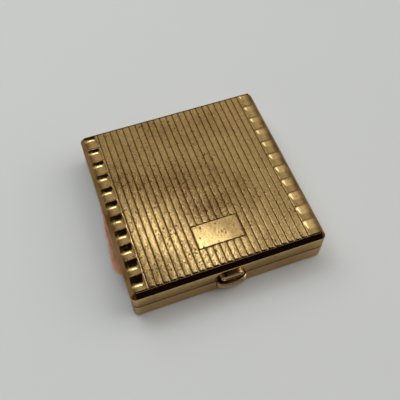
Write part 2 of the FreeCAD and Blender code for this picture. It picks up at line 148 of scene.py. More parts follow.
# %% World
def make_world():
    """The studio's walls and ceiling, as a colour for each direction."""
    world = bpy.data.worlds.new("studio")
    world.use_nodes = True
    tree = world.node_tree
    tree.nodes.clear()
    direction = add(tree, "ShaderNodeTexCoord").outputs["Generated"]
    parts = add(tree, "ShaderNodeSeparateXYZ", inputs={0: direction})
    x, y, z = parts.outputs
    flat = maths(tree, "SQRT", maths(tree, "SUBTRACT", 1.0, maths(tree, "MULTIPLY", x, x)))
    back = maths(tree, "DIVIDE", y, maths(tree, "MAXIMUM", flat, 0.001))
    to_right = remap(tree, x, -0.75, -0.1)
    wall = blend_colours(tree, to_right, colour(0.17, 0.14, 0.10), colour(0.33, 0.29, 0.225))
    glow = maths(tree, "MULTIPLY", remap(tree, x, 0.02, 0.18), remap(tree, x, 0.40, 0.22))
    wall = blend_colours(tree, maths(tree, "MULTIPLY", glow, 0.6), wall, colour(0.52, 0.46, 0.37))
    high = remap(tree, back, 0.50, 0.46)
    right = remap(tree, x, 0.26, 0.46)
    ceiling = maths(tree, "MULTIPLY", maths(tree, "MULTIPLY", high, right), remap(tree, z, 0.2, 0.4))
    pale = blend_colours(tree, remap(tree, x, 0.42, 0.62), colour(1.0, 0.95, 0.86), colour(1.9, 1.8, 1.6))
    lit = blend_colours(tree, ceiling, wall, pale)
    over = maths(tree, "MULTIPLY", remap(tree, back, 0.43, 0.39), remap(tree, back, -0.93, -0.88))
    over = maths(tree, "MULTIPLY", over, remap(tree, x, 0.30, 0.18))
    over = maths(tree, "MULTIPLY", over, remap(tree, x, -0.55, -0.35))
    front = maths(tree, "MULTIPLY", remap(tree, back, -0.45, -0.6), remap(tree, x, -0.2, -0.02))
    front = maths(tree, "MULTIPLY", front, remap(tree, x, 0.75, 0.6))
    dark = maths(tree, "MULTIPLY", maths(tree, "MAXIMUM", over, front), remap(tree, z, -0.12, -0.02))
    seen = blend_colours(tree, dark, lit, colour(0.006, 0.003, 0.002))
    background = add(tree, "ShaderNodeBackground", inputs={"Color": seen, "Strength": 1.0})
    output = add(tree, "ShaderNodeOutputWorld")
    tree.links.new(background.outputs[0], output.inputs["Surface"])
    bpy.context.scene.world = world


make_world()
print("world ready")


# %% [markdown]
# A world alone gives no clear shadow, so three lamps are added. A narrow one stands behind and above and
# is seen in the metal, where it makes the glare on the lid. A wide soft box throws the shadow and a
# broad lamp overhead lifts it. Those two are hidden from reflections, because the room is painted into
# the world already.


# %% Lamps
def area_light(name, direction, distance, size_x, size_y, turn, power, tint, in_reflections):
    """A rectangular lamp in a direction from the compact. It faces the compact, turned in its own plane."""
    data = bpy.data.lights.new(name, "AREA")
    data.shape = "RECTANGLE"
    data.size = size_x
    data.size_y = size_y
    data.energy = power
    data.color = tint
    lamp = bpy.data.objects.new(name, data)
    lamp.location = Vector(direction).normalized() * distance
    facing = (-lamp.location).to_track_quat("-Z", "Y").to_matrix().to_4x4()
    lamp.matrix_world = Matrix.Translation(lamp.location) @ facing @ Matrix.Rotation(turn, 4, "Z")
    lamp.visible_glossy = in_reflections
    bpy.context.scene.collection.objects.link(lamp)
    return lamp


LAMP_TILT = math.radians(-20)
area_light("narrow_lamp", (0.10, 0.432, 0.896), 1.2, 0.36, 0.05, LAMP_TILT, 0.20, (1.0, 0.97, 0.86), True)
area_light("soft_box", (-0.30, 0.52, 0.80), 1.3, 0.9, 0.9, 0.0, 5.5, (0.96, 0.99, 1.0), False)
area_light("overhead_fill", (0.0, 0.05, 1.0), 1.6, 2.2, 2.2, 0.0, 9.0, (0.96, 0.99, 1.0), False)
print("three lamps")


# %% [markdown]
# The compact stands on something pale, which fills its walls with light from below.


# %% Floor
def make_floor():
    """A plain pale table, with a very slight mottle so that it doesn't look painted on."""
    side = 3.0
    corners = [(-side, -side, 0), (side, -side, 0), (side, side, 0), (-side, side, 0)]
    mesh = bpy.data.meshes.new("floor")
    mesh.from_pydata(corners, [], [(0, 1, 2, 3)])
    floor = bpy.data.objects.new("floor", mesh)
    bpy.context.scene.collection.objects.link(floor)
    material = bpy.data.materials.new("pale_table")
    material.use_nodes = True
    tree = material.node_tree
    place = add(tree, "ShaderNodeTexCoord").outputs["Object"]
    mottle = add(tree, "ShaderNodeTexNoise", inputs={"Vector": place, "Scale": 12.0, "Detail": 3.0})
    shade = blend_colours(tree, mottle.outputs["Fac"], colour(0.665, 0.695, 0.725), colour(0.685, 0.71, 0.74))
    shader = tree.nodes["Principled BSDF"]
    tree.links.new(shade, shader.inputs["Base Color"])
    shader.inputs["Roughness"].default_value = 0.65
    shader.inputs["Specular IOR Level"].default_value = 0.15
    mesh.materials.append(material)
    return floor


make_floor()
print("floor ready")

# %% [markdown]
# ## Effects that several finishes share
# Old plating wears in the same few ways wherever it is: broad brown stains, small dark pits, and a
# fine grain from years in a handbag. They are made once, as a node group with named sockets, and each
# material places the group with its own amounts. The group gives masks and a height, and the material
# keeps its own shader.


# %% Node group: stains, pits and grain
def new_group(name, inputs, outputs):
    """An empty shader group with its named sockets. Inputs are (name, default)."""
    tree = bpy.data.node_groups.new(name, "ShaderNodeTree")
    for label, default in inputs:
        socket = tree.interface.new_socket(label, in_out="INPUT", socket_type="NodeSocketFloat")
        socket.default_value = default
    for label in outputs:
        tree.interface.new_socket(label, in_out="OUTPUT", socket_type="NodeSocketFloat")
    return tree, tree.nodes.new("NodeGroupInput").outputs, tree.nodes.new("NodeGroupOutput").inputs


def make_wear_group():
    """Masks for age on metal. Scales are in marks per metre."""
    inputs = [("Stain Scale", 60.0), ("Pit Scale", 900.0), ("Pit Amount", 0.3), ("Grain Scale", 3000.0)]
    tree, given, result = new_group("age_of_plating", inputs, ["Stain", "Pits", "Grain", "Height"])
    place = add(tree, "ShaderNodeTexCoord").outputs["Object"]
    stain = add(tree, "ShaderNodeTexNoise", inputs={
        "Vector": place, "Scale": given["Stain Scale"], "Detail": 5.0, "Roughness": 0.62})
    stain_mask = remap(tree, stain.outputs["Fac"], 0.42, 0.68)
    cells = add(tree, "ShaderNodeTexVoronoi", {"feature": "F1"}, {
        "Vector": place, "Scale": given["Pit Scale"], "Randomness": 1.0})
    spot = remap(tree, cells.outputs["Distance"], 0.34, 0.12)
    chance = add(tree, "ShaderNodeSeparateColor", inputs={0: cells.outputs["Color"]}).outputs[0]
    where = add(tree, "ShaderNodeTexNoise", inputs={"Vector": place, "Scale": 110.0, "Detail": 2.0})
    crowd = remap(tree, where.outputs["Fac"], 0.40, 0.72, 0.15, 1.6)
    limit = maths(tree, "MULTIPLY", given["Pit Amount"], crowd)
    chosen = maths(tree, "LESS_THAN", chance, limit)
    pits = maths(tree, "MULTIPLY", spot, chosen)
    grain = add(tree, "ShaderNodeTexNoise", inputs={
        "Vector": place, "Scale": given["Grain Scale"], "Detail": 3.0, "Roughness": 0.7})
    tree.links.new(stain_mask, result["Stain"])
    tree.links.new(pits, result["Pits"])
    tree.links.new(grain.outputs["Fac"], result["Grain"])
    height = maths(tree, "SUBTRACT", maths(tree, "MULTIPLY", grain.outputs["Fac"], 0.35), pits)
    tree.links.new(height, result["Height"])
    return tree


wear_group = make_wear_group()
print("group", wear_group.name)


# %% [markdown]
# ## Gold-tone plating
# The case is pressed brass with a thin gold-tone plate. On the ribbed field it has gone satin, with
# brown in the grooves. The flutes, bevels and walls stayed polished. The relief's mesh carries two
# values at each point, grime_and_shade and field, so one material can tell a groove from a crown, and
# the ribs from the polished border. grime_and_shade is partly real tarnish and partly painted shade, on
# the flute ridges and on the lid's wall. A piece without those values simply reads zero, and comes out
# polished.


# %% Material: gold-tone plating
def start_material(name):
    """A new material with its tree, its shader and object coordinates."""
    material = bpy.data.materials.new(name)
    material.use_nodes = True
    tree = material.node_tree
    return material, tree, tree.nodes["Principled BSDF"]


def place_group(tree, group, **values):
    """A group in a material, with its inputs set by name."""
    made = add(tree, "ShaderNodeGroup", {"node_tree": group})
    for name, value in values.items():
        made.inputs[name.replace("_", " ")].default_value = value
    return made.outputs


def gold_plating(name, clean, brown, polish, satin, stain, pit_amount, bump):
    """Gold-tone plate: clean and brown are its colours, polish and satin its two roughnesses."""
    material, tree, shader = start_material(name)
    age = place_group(tree, wear_group, Pit_Amount=pit_amount)
    grime_and_shade = add(tree, "ShaderNodeAttribute", {"attribute_name": "grime_and_shade"}).outputs["Fac"]
    field = add(tree, "ShaderNodeAttribute", {"attribute_name": "field"}).outputs["Fac"]
    grain = age["Grain"]
    speckle = remap(tree, grain, 0.42, 0.62)
    # This mixes real stains, grain, pits and tarnish with the painted shade that grime_and_shade carries.
    tarnish_and_shade = maths(tree, "MULTIPLY", age["Stain"], stain)
    tarnish_and_shade = maths(tree, "ADD", tarnish_and_shade, maths(tree, "MULTIPLY", maths(tree, "MULTIPLY", speckle, field), 0.55))
    tarnish_and_shade = maths(tree, "ADD", tarnish_and_shade, maths(tree, "MULTIPLY", grime_and_shade, 0.85))
    tarnish_and_shade = maths(tree, "ADD", tarnish_and_shade, maths(tree, "MULTIPLY", age["Pits"], 0.9))
    tarnish_and_shade = maths(tree, "MINIMUM", tarnish_and_shade, 1.0)
    tint = blend_colours(tree, tarnish_and_shade, clean, brown)
    tree.links.new(tint, shader.inputs["Base Color"])
    shader.inputs["Metallic"].default_value = 1.0
    shader.inputs["Specular Tint"].default_value = colour(0.62, 0.53, 0.44)
    rough = maths(tree, "ADD", polish, maths(tree, "MULTIPLY", field, satin - polish))
    rough = maths(tree, "ADD", rough, maths(tree, "MULTIPLY", tarnish_and_shade, 0.16))
    rough = maths(tree, "ADD", rough, maths(tree, "MULTIPLY", speckle, 0.06))
    tree.links.new(rough, shader.inputs["Roughness"])
    roughened = maths(tree, "ADD", maths(tree, "MULTIPLY", field, 0.8), 0.2)
    relief = maths(tree, "MULTIPLY", age["Height"], roughened)
    bumps = add(tree, "ShaderNodeBump", inputs={"Height": relief, "Strength": bump, "Distance": 0.04 * MM})
    tree.links.new(bumps.outputs["Normal"], shader.inputs["Normal"])
    return material


case_gold = gold_plating("case_gold", colour(0.88, 0.66, 0.32), colour(0.16, 0.075, 0.024),
                         polish=0.045, satin=0.11, stain=0.22, pit_amount=0.35, bump=1.0)
# Painted shade: shaded_wall_gold is a darker, browner copy of the plating, for the base's walls, the tab and
# the button. It paints the shadowed table that these walls reflect.
shaded_wall_gold = gold_plating("shaded_wall_gold", colour(0.62, 0.425, 0.235), colour(0.20, 0.105, 0.035),
                         polish=0.07, satin=0.11, stain=0.25, pit_amount=0.12, bump=0.8)
inner_gold = gold_plating("inner_gold", colour(0.90, 0.68, 0.36), colour(0.42, 0.25, 0.10),
                          polish=0.16, satin=0.24, stain=0.20, pit_amount=0.03, bump=0.15)
print("materials", case_gold.name, shaded_wall_gold.name, inner_gold.name)

# %% [markdown]
# ## The ribbed lid
# The lid's top is a height at every point of a square, which is the easiest of all shapes to write:
# a function gives how far the surface lies below the highest level, and a grid of points follows it.
# The grid isn't even. Its lines crowd together where the surface bends, at the groove beside each rib,
# and they are far apart where it is nearly flat. The border of the grid then goes over the bevel,
# down the wall, round the rim and up inside, one ring of points after another.

# %% Sizes of the relief
RIB_COUNT = 23
RIB_PITCH = 2.47 * MM
RIB_DEPTH = 0.20 * MM
RIB_SHOULDER = 0.27 * MM
RIB_CROWN = 0.03 * MM
FRONT_EXTRA = 0.35 * MM
SIDE_SLOPE = BEVEL_DROP / BEVEL
FRONT_SLOPE = BEVEL_DROP / (BEVEL + FRONT_EXTRA)
RIB_END = PLATE_HALF + 0.12 * MM
RIB_END_ROUND = 0.55 * MM
FIELD_HALF = RIB_COUNT * RIB_PITCH / 2
PANEL_RIBS = 7
PANEL_HALF_X = PANEL_RIBS * RIB_PITCH / 2
PANEL_HALF_Y = 4.6 * MM
PANEL_Y = -21.1 * MM
PANEL_SHOULDER = 0.3 * MM
FLUTE_COUNT = 11
FLUTE_PITCH = 2 * PLATE_HALF / FLUTE_COUNT
FLUTE_DEPTH = 0.36 * MM
FLUTE_RIM = 0.45 * MM
FLUTE_FILLET = 1.0 * MM
FLUTE_END_ROUND = 0.7 * MM
RIDGE_START = 0.93


# %% [markdown]
# Each part of the relief has a function of its own: ribs, panel and flutes. The real ones are pressed
# between dies, so their edges are round, and one rounded shoulder serves them all. The last function
# chooses between them, so a new pattern would need only a new function.


# %% How far the surface lies below the top
def inside_round_outline(from_side, from_end, corner):
    """Distance inside a round-cornered outline, from the distances to its straight sides."""
    in_corner = (from_side < corner) & (from_end < corner)
    round_part = corner - np.hypot(corner - from_side, corner - from_end)
    return np.where(in_corner, round_part, np.minimum(from_side, from_end))


def shoulder(inside, width, depth):
    """A rounded shoulder: the full depth at an outline, and none once inside by its width."""
    share = np.clip(inside / width, 0, 1)
    return depth * (1 - np.sqrt(np.clip(1 - (1 - share) ** 2, 0, 1)))


def rib_drop(x, y):
    """The crowned ribs, each with rounded ends, which stop at the panel."""
    rib = np.clip(np.floor((x + FIELD_HALF) / RIB_PITCH), 0, RIB_COUNT - 1)
    off_centre = x + FIELD_HALF - (rib + 0.5) * RIB_PITCH
    from_side = RIB_PITCH / 2 - np.abs(off_centre)
    from_end = np.where(y < 0, RIB_END - FRONT_EXTRA, RIB_END) - np.abs(y)
    short = np.abs(rib - (RIB_COUNT - 1) / 2) <= (PANEL_RIBS - 1) / 2
    from_panel = np.abs(y - PANEL_Y) - PANEL_HALF_Y
    from_end = np.where(short, np.minimum(from_end, from_panel), from_end)
    inside = inside_round_outline(from_side, from_end, RIB_END_ROUND)
    crown = RIB_CROWN * (off_centre / (RIB_PITCH / 2)) ** 2
    return shoulder(inside, RIB_SHOULDER, RIB_DEPTH) + crown


def panel_drop(x, y):
    """The flat panel, with a groove round it."""
    inside = inside_round_outline(PANEL_HALF_X - np.abs(x), PANEL_HALF_Y - np.abs(y - PANEL_Y), 0.3 * MM)
    return shoulder(inside, PANEL_SHOULDER, RIB_DEPTH) + 0.01 * MM


def flute_drop(x, y):
    """The cross flutes of the border: hollow from ridge to ridge, closed by a fillet at the inner rim."""
    beyond = np.abs(x) - FIELD_HALF
    along = np.abs(((y + PLATE_HALF) / FLUTE_PITCH) % 1.0 - 0.5) * 2
    hollow = 1 - along ** 2
    ridge = RIDGE_START / (1 - RIDGE_START) * (1 - along) ** 2 + (1 - RIDGE_START)
    section = np.where(along > RIDGE_START, ridge, hollow)
    share = np.clip((beyond - FLUTE_RIM - FLUTE_END_ROUND * along ** 4) / FLUTE_FILLET, 0, 1)
    rim = shoulder(beyond, 0.3 * MM, RIB_DEPTH + RIB_CROWN)
    return rim + FLUTE_DEPTH * section * (1 - (1 - share) ** 2)


def bevel_fall(out, front):
    """How far the bevel lies below the top. front is 1 on the front bevel, which is a little wider."""
    return out * SIDE_SLOPE * (1 - front) + (out + FRONT_EXTRA) * FRONT_SLOPE * front


def front_cut(y):
    """How far the front bevel reaches into the plate's grid."""
    return np.clip(-y - PLATE_HALF + FRONT_EXTRA, 0, None) * FRONT_SLOPE


def lid_drop(x, y):
    """The whole relief: flutes outside the field, and the panel or the ribs inside it."""
    on_panel = (np.abs(x) < PANEL_HALF_X) & (np.abs(y - PANEL_Y) < PANEL_HALF_Y)
    inner = np.where(on_panel, panel_drop(x, y), rib_drop(x, y))
    relief = np.where(np.abs(x) > FIELD_HALF, flute_drop(x, y), inner)
    return np.maximum(relief, front_cut(y))


# %% [markdown]
# The lines of the grid are worked out from the same sizes. Each groove gets a set of close lines on
# both sides, and the corners get a few that are bent into a quarter circle.

# %% Lines of the grid
CORNER_SHARES = (0.2, 0.4, 0.6, 0.8, 1.0)
GROOVE_STEPS = (0.0, 0.06, 0.13, 0.20, 0.27, 0.42, 0.80)
RIM_STEPS = (0.07, 0.16, 0.30, 0.40, 0.50, 0.64, 0.85, 1.15, 1.6, 2.2, 3.0)
END_STEPS = (-0.45, -0.3, -0.18, -0.1, -0.05, 0.0, 0.05, 0.1, 0.18, 0.3, 0.45)
ROWS_PER_FLUTE = 18
HINGE_HALF = 18.2 * MM
NOTCH_STEP = 0.02 * MM


def mirrored(values):
    """The values and their negatives, in order and without doubles."""
    merged = sorted({round(sign * v, 8) for v in values for sign in (-1, 1)})
    kept = [merged[0]]
    for v in merged[1:]:
        if v - kept[-1] > 0.012 * MM:
            kept.append(v)
    return kept


def corner_lines():
    """The lines beyond the start of the corner's arc."""
    return [PLATE_HALF - PLATE_CORNER * (1 - share) for share in (0.0,) + CORNER_SHARES]


def column_lines():
    """The grid's places along X."""
    lines = []
    for i in range(RIB_COUNT // 2 + 1):
        centre = i * RIB_PITCH
        for step in GROOVE_STEPS:
            lines += [centre + RIB_PITCH / 2 - step * MM, centre - RIB_PITCH / 2 + step * MM]
        lines.append(centre)
    lines += [FIELD_HALF + step * MM for step in RIM_STEPS]
    lines += [HINGE_HALF, HINGE_HALF + NOTCH_STEP]
    return mirrored([v for v in lines + corner_lines() if v >= 0])


def row_lines():
    """The grid's places along Y."""
    step = FLUTE_PITCH / ROWS_PER_FLUTE
    inner = PLATE_HALF - PLATE_CORNER
    lines = [v for v in np.arange(-PLATE_HALF, PLATE_HALF, step) if abs(v) < inner]
    for edge in (PANEL_Y - PANEL_HALF_Y, PANEL_Y + PANEL_HALF_Y):
        lines += [edge + step * MM for step in END_STEPS]
    lines += [-PLATE_HALF + FRONT_EXTRA + step * MM for step in (-0.04, 0.0, 0.04, 0.1, 0.18)]
    lines = [v for v in lines if abs(v) < inner - 0.05 * MM]
    lines += [sign * v for v in corner_lines() for sign in (-1, 1)]
    lines = sorted(round(float(v), 8) for v in lines)
    return [v for i, v in enumerate(lines) if i == 0 or v - lines[i - 1] > 0.012 * MM]


columns = column_lines()
rows = row_lines()
print("grid", len(columns), "by", len(rows))


# %% [markdown]
# A square grid has sharp corners and the lid has round ones. The known trick for bending a square into
# a quarter disc keeps its two inner sides straight, so the corner squares of the grid are bent alone
# and still meet their neighbours.


# %% The grid's own shape
def bent_corner(x, y, half=PLATE_HALF, corner=PLATE_CORNER):
    """Bend the grid's four corner squares into quarter discs."""
    start = half - corner
    u = np.clip((np.abs(x) - start) / corner, 0, 1)
    v = np.clip((np.abs(y) - start) / corner, 0, 1)
    in_corner = (u > 0) & (v > 0)
    round_x = np.sign(x) * (start + corner * u * np.sqrt(1 - v ** 2 / 2))
    round_y = np.sign(y) * (start + corner * v * np.sqrt(1 - u ** 2 / 2))
    return np.where(in_corner, round_x, x), np.where(in_corner, round_y, y)


def outward(x, y):
    """The direction out of the plate at a point of its outline, as two arrays."""
    start = PLATE_HALF - PLATE_CORNER
    dx = np.sign(x) * np.clip(np.abs(x) - start, 0, None)
    dy = np.sign(y) * np.clip(np.abs(y) - start, 0, None)
    length = np.maximum(np.hypot(dx, dy), 1e-12)
    return dx / length, dy / length


def slow_wave(x, y):
    """The very slight unevenness that pressed sheet has, under a hundredth of a millimetre."""
    return 0.011 * MM * noise.noise(Vector((x / (3.1 * MM), y / (9.0 * MM), 4.0)))


def flute_painted_shade_and_edge_line(x, y):
    """Painted shade: a dark line on each ridge between two flutes, where the step falls in shade. Also a
    darker line along the plate's outer edge.
    """
    along = np.abs(((y + PLATE_HALF) / FLUTE_PITCH) % 1.0 - 0.5) * 2
    ridge = np.clip((along - 0.87) / 0.06, 0, 1)
    outer = np.clip((np.abs(x) - PLATE_HALF + 0.5 * MM) / (0.25 * MM), 0, 1)
    return 0.9 * np.maximum(ridge, outer)


def panel_grime(x, y):
    """The dark margins at the panel's two ends, and the tarnish that creeps in from its rear corners."""
    from_end = PANEL_HALF_X - np.abs(x)
    from_rear = PANEL_Y + PANEL_HALF_Y - y
    margin = 0.75 * np.clip((0.75 * MM - from_end) / (0.35 * MM), 0, 1)
    corner = 0.45 * np.clip(1 - (from_end + from_rear) / (3.2 * MM), 0, 1)
    return np.maximum(margin, corner)


def back_edge_darkening(y):
    """The dark line along the lid's back edge."""
    return 0.9 * np.clip((y - PLATE_HALF + 0.55 * MM) / (0.25 * MM), 0, 1)


def stain_band(x, y):
    """The broad brown band across the lid's left half, and the darker strip behind the panel."""
    band = np.exp(-((y - 1 * MM + 0.25 * x) / (9 * MM)) ** 2) * np.clip(0.75 - x / (30 * MM), 0, 1)
    behind = np.exp(-((y + 11 * MM) / (5 * MM)) ** 2 - ((x - 1 * MM) / (13 * MM)) ** 2)
    return 0.46 * band + 0.50 * behind


def lid_grid():
    """The points of the lid's top, its outline's walk, and the two values that the finish reads."""
    gx, gy = np.meshgrid(np.array(columns), np.array(rows))
    drop = lid_drop(gx, gy)
    wave = np.vectorize(slow_wave)(gx, gy)
    px, py = bent_corner(gx, gy)
    reach = 1.0 * MM
    near_edge = np.clip(1 - (PLATE_HALF - np.maximum(np.abs(gx), np.abs(gy))) / reach, 0, 1) ** 2
    nx, ny = outward(px, py)
    shift = near_edge * (drop - front_cut(gy)) / SIDE_SLOPE
    px = px + nx * shift
    py = py + ny * shift
    points = np.stack([px, py, TOP - drop - wave * (1 - near_edge)], axis=-1)
    in_field = np.abs(gx) <= FIELD_HALF
    in_groove = np.clip(drop / RIB_DEPTH, 0, 1) ** 0.9 * (np.abs(gx) <= FIELD_HALF + 0.2 * MM)
    in_groove = np.where(front_cut(gy) > 0, 0, in_groove)
    on_panel = (np.abs(gx) < PANEL_HALF_X) & (np.abs(gy - PANEL_Y) < PANEL_HALF_Y)
    # Real tarnish in the grooves, the stain band and the panel, painted shade on the flute ridges, and a
    # darker back edge.
    grime_and_shade = in_groove + stain_band(gx, gy) * (in_field & ~on_panel) + flute_painted_shade_and_edge_line(gx, gy) * ~in_field
    grime_and_shade = grime_and_shade + panel_grime(gx, gy) * on_panel + back_edge_darkening(gy)
    ribbed = np.clip((FIELD_HALF + 0.2 * MM - np.abs(gx)) / (0.2 * MM), 0, 1) * np.where(on_panel, 0.45, 1.0)
    return points, drop, grime_and_shade, ribbed


def outline_walk(row_count, column_count):
    """Indices of the grid's outline, once round, anticlockwise from the front left."""
    front = [(0, c) for c in range(column_count - 1)]
    right = [(r, column_count - 1) for r in range(row_count - 1)]
    back = [(row_count - 1, c) for c in range(column_count - 1, 0, -1)]
    left = [(r, 0) for r in range(row_count - 1, 0, -1)]
    return front + right + back + left


# %% [markdown]
# The rings that go over the bevel and down the wall are each a distance outwards and a distance down.
# At the hinge the rim is notched, which here is only a rim that lies higher.

# %% The rings round the lid
PLATE_EDGE_RINGS = ((0.0, 0.02), (0.04, 0.08), (0.10, 0.14))
BEVEL_PLANE_OUTS = (0.8, 1.50, 1.57)
WALL_TOP_RINGS = ((1.63, -0.01), (1.65, 0.10), (1.65, 0.3))
RIM_ROUND = 0.1 * MM
HINGE_NOTCH_TOP = SEAM + 1.15 * MM
CEILING_DROP = 1.5 * MM
CEILING_BEVEL = 0.5 * MM
# How much darker the bevel is made on its sides, on its front corners and at its back.
SIDE_BEVEL_DARKENING = 0.95
FRONT_CORNER_DARKENING = 1.15
# Painted shade on the lid's wall rings, for the shadowed table that the wall reflects.
WALL_PAINTED_SHADE = 0.34
BACK_BEVEL_DARKENING = 0.85


def rim_height(x, y):
    """The height of the lid's rim at a point of the outline."""
    if y > PLATE_HALF - PLATE_CORNER and abs(x) <= HINGE_HALF + NOTCH_STEP / 2:
        return HINGE_NOTCH_TOP
    return LID_RIM


def plate_edge(y, front, depth, out, fall):
    """Where the plate turns over into the bevel: a distance outwards, and a height."""
    excess = max(0.0, depth - float(front_cut(y)))
    out = excess / SIDE_SLOPE + out
    return out, TOP - max(bevel_fall(out, front), depth + fall)


def bevel_darkening(nx, ny):
    """How much darker the bevel is made on the side that faces (nx, ny): most on the two front corners."""
    if ny > 0.5:
        return BACK_BEVEL_DARKENING
    if ny < -0.1 and abs(nx) > 0.1:
        return FRONT_CORNER_DARKENING
    return SIDE_BEVEL_DARKENING * abs(nx)


def make_lid():
    """The lid as one closed mesh: top, bevel, wall, rim, inner wall and ceiling."""
    grid, drop, grime_and_shade, ribbed = lid_grid()
    row_count, column_count = len(rows), len(columns)
    points = [tuple(p) for p in grid.reshape(-1, 3)]
    faces = []
    for r in range(row_count - 1):
        for c in range(column_count - 1):
            start = r * column_count + c
            faces.append((start, start + 1, start + column_count + 1, start + column_count))
    walk = outline_walk(row_count, column_count)
    ring = [r * column_count + c for r, c in walk]
    edge = []
    for r, c in walk:
        x, y = bent_corner(np.array(columns[c]), np.array(rows[r]))
        nx, ny = outward(x, y)
        edge.append((float(x), float(y), float(nx), float(ny), float(drop[r, c])))

    def add_ring(out_and_height):
        """Add one ring of points and the band of faces that joins it to the last."""
        nonlocal ring
        first = len(points)
        for x, y, nx, ny, depth in edge:
            out, height = out_and_height(x, y, max(0.0, -ny) ** 2, depth)
            points.append((x + nx * out, y + ny * out, height))
        count = len(edge)
        for i in range(count):
            j = (i + 1) % count
            faces.append((ring[i], first + i, first + j, ring[j]))
        ring = list(range(first, first + count))

    for out, fall in PLATE_EDGE_RINGS:
        add_ring(lambda x, y, front, depth: plate_edge(y, front, depth, out * MM, fall * MM))
    for out in BEVEL_PLANE_OUTS:
        add_ring(lambda x, y, front, depth: (out * MM, TOP - bevel_fall(out * MM, front)))
    for out, fall in WALL_TOP_RINGS:
        add_ring(lambda x, y, front, depth: (out * MM, TOP - BEVEL_DROP - fall * MM))
    add_ring(lambda x, y, front, depth: (BEVEL, rim_height(x, y) + RIM_ROUND))
    add_ring(lambda x, y, front, depth: (BEVEL - RIM_ROUND * 0.3, rim_height(x, y) + RIM_ROUND * 0.3))
    add_ring(lambda x, y, front, depth: (BEVEL - RIM_ROUND, rim_height(x, y)))
    add_ring(lambda x, y, front, depth: (BEVEL - WALL + RIM_ROUND * 0.5, rim_height(x, y)))
    add_ring(lambda x, y, front, depth: (BEVEL - WALL, rim_height(x, y) + RIM_ROUND * 0.5))
    add_ring(lambda x, y, front, depth: (BEVEL - WALL, TOP - CEILING_DROP - CEILING_BEVEL))
    add_ring(lambda x, y, front, depth: (BEVEL - WALL - CEILING_BEVEL, TOP - CEILING_DROP))
    points.append((0.0, 0.0, TOP - CEILING_DROP))
    middle = len(points) - 1
    for i, here in enumerate(ring):
        faces.append((here, middle, ring[(i + 1) % len(ring)]))
    top_count = row_count * column_count
    grime_and_shade_values = np.zeros(len(points), np.float32)
    ribbed_values = np.zeros(len(points), np.float32)
    grime_and_shade_values[:top_count] = grime_and_shade.ravel()
    ribbed_values[:top_count] = ribbed.ravel()
    bevel_darkening_values = [bevel_darkening(nx, ny) for x, y, nx, ny, depth in edge]
    bevel_count = len(PLATE_EDGE_RINGS) + len(BEVEL_PLANE_OUTS)
    # The bevel rings take the bevel's darkening, and the wall rings take painted shade.
    for ring_number in range(bevel_count + len(WALL_TOP_RINGS) + 2):
        first = top_count + ring_number * len(edge)
        on_bevel = ring_number < bevel_count
        grime_and_shade_values[first:first + len(edge)] = bevel_darkening_values if on_bevel else WALL_PAINTED_SHADE
    return points, faces, {"grime_and_shade": grime_and_shade_values, "field": ribbed_values}


def make_piece(name, points, faces, body, material, stands_for=(), values=None, crease=35.0):
    """A mesh piece in its place: smooth where it bends gently, sharp where it turns more than crease."""
    mesh = bpy.data.meshes.new(name)
    mesh.from_pydata(points, [], faces)
    for label, numbers in (values or {}).items():
        attribute = mesh.attributes.new(label, "FLOAT", "POINT")
        attribute.data.foreach_set("value", numbers)
    mesh.validate()
    mesh.shade_smooth()
    mesh.set_sharp_from_angle(angle=math.radians(crease))
    mesh.materials.append(material)
    piece = bpy.data.objects.new(name, mesh)
    bpy.context.scene.collection.objects.link(piece)
    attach(piece, body)
    if stands_for:
        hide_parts(*stands_for)
    print(name, "points", len(mesh.vertices), "faces", len(mesh.polygons))
    return piece


lid_points, lid_faces, lid_values = make_lid()
make_piece("ribbed_lid", lid_points, lid_faces, "lid", case_gold, ("lid_shell",),
           lid_values)

# %% [markdown]
# ## The thumb catch
# The tab on the lid is a pill-shaped loop with two fine ridges inside it. Each ring of its mesh is the
# same outline drawn a little smaller, so a list of insets and reaches is the whole shape. The button
# below it is a bow in plan, with two long ridges, and the same method works from the bottom up.

# %% Thumb tab
tab_low, tab_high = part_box("lid_thumb_tab")
TAB_RINGS = ((0.0, 0.0), (0.0, 0.75), (0.05, 0.93), (0.16, 1.05), (0.30, 1.10), (0.46, 1.08), (0.58, 0.98),
             (0.66, 0.70), (0.72, 0.48), (0.84, 0.48), (0.90, 0.70), (0.98, 0.95), (1.10, 1.05), (1.3, 1.08),
             (1.5, 1.08))
TAB_ARC_STEPS = 14
TAB_SIDE_STEPS = 10


def pill_outline(radius, straight):
    """Points once round a pill shape, as (x, z), from its centre."""
    points = []
    for side in (1, -1):
        for i in range(TAB_ARC_STEPS + 1):
            angle = side * math.pi / 2 - math.pi * i / TAB_ARC_STEPS
            points.append((side * straight + radius * math.cos(angle), radius * math.sin(angle)))
        for i in range(1, TAB_SIDE_STEPS):
            share = i / TAB_SIDE_STEPS
            points.append((side * straight * (1 - 2 * share), -side * radius))
    return points


def joined_rings(rings, flip=False):
    """Points and faces of a closed skin over rings of equal length, with a flat face on each end."""
    count = len(rings[0])
    points = [point for ring in rings for point in ring]
    faces = [tuple(range(count)), tuple(reversed(range(len(points) - count, len(points))))]
    for level in range(len(rings) - 1):
        for i in range(count):
            j = (i + 1) % count
            low = level * count
            faces.append((low + i, low + count + i, low + count + j, low + j))
    if flip:
        faces = [tuple(reversed(face)) for face in faces]
    return points, faces


def make_tab():
    """The loop on the lid's front wall."""
    radius = (tab_high.z - tab_low.z) / 2
    straight = tab_high.x - radius
    middle = (tab_high.z + tab_low.z) / 2
    rings = []
    for inset, reach in TAB_RINGS:
        outline = pill_outline(radius - inset * MM, straight)
        rings.append([(x, tab_high.y - reach * MM, middle + z) for x, z in outline])
    return joined_rings(rings)


